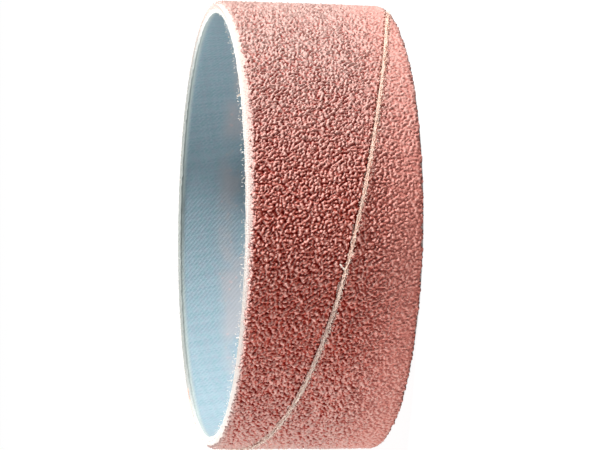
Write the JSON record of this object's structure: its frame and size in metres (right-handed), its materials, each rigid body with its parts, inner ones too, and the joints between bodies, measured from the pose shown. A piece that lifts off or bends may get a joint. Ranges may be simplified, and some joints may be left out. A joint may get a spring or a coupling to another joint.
{
  "type": "abrasive spiral band",
  "caption": "Open cylindrical sanding band: coarse red-brown abrasive cloth strip wound as a spiral with a slanting butt joint over a blue twill lining, to slip on an expanding drum.",
  "frame": {"origin": "middle of the lower rim, on the band's axis", "axes": "+Z along the bore, towards the rim that is nearer in the picture; +X is up in the picture, +Y away from its camera"},
  "size_m": [0.08, 0.08, 0.03],
  "materials": {
    "abrasive_grain": "coarse bonded red-brown grain, matt with a faint glint on the facets",
    "backing_cloth": "undyed cloth, frayed where it is cut",
    "liner_cloth": "blue twill, matt"
  },
  "bodies": {
    "root": {"abrasive_strip": "abrasive_grain", "liner_strip": "liner_cloth"}
  },
  "joints": []
}
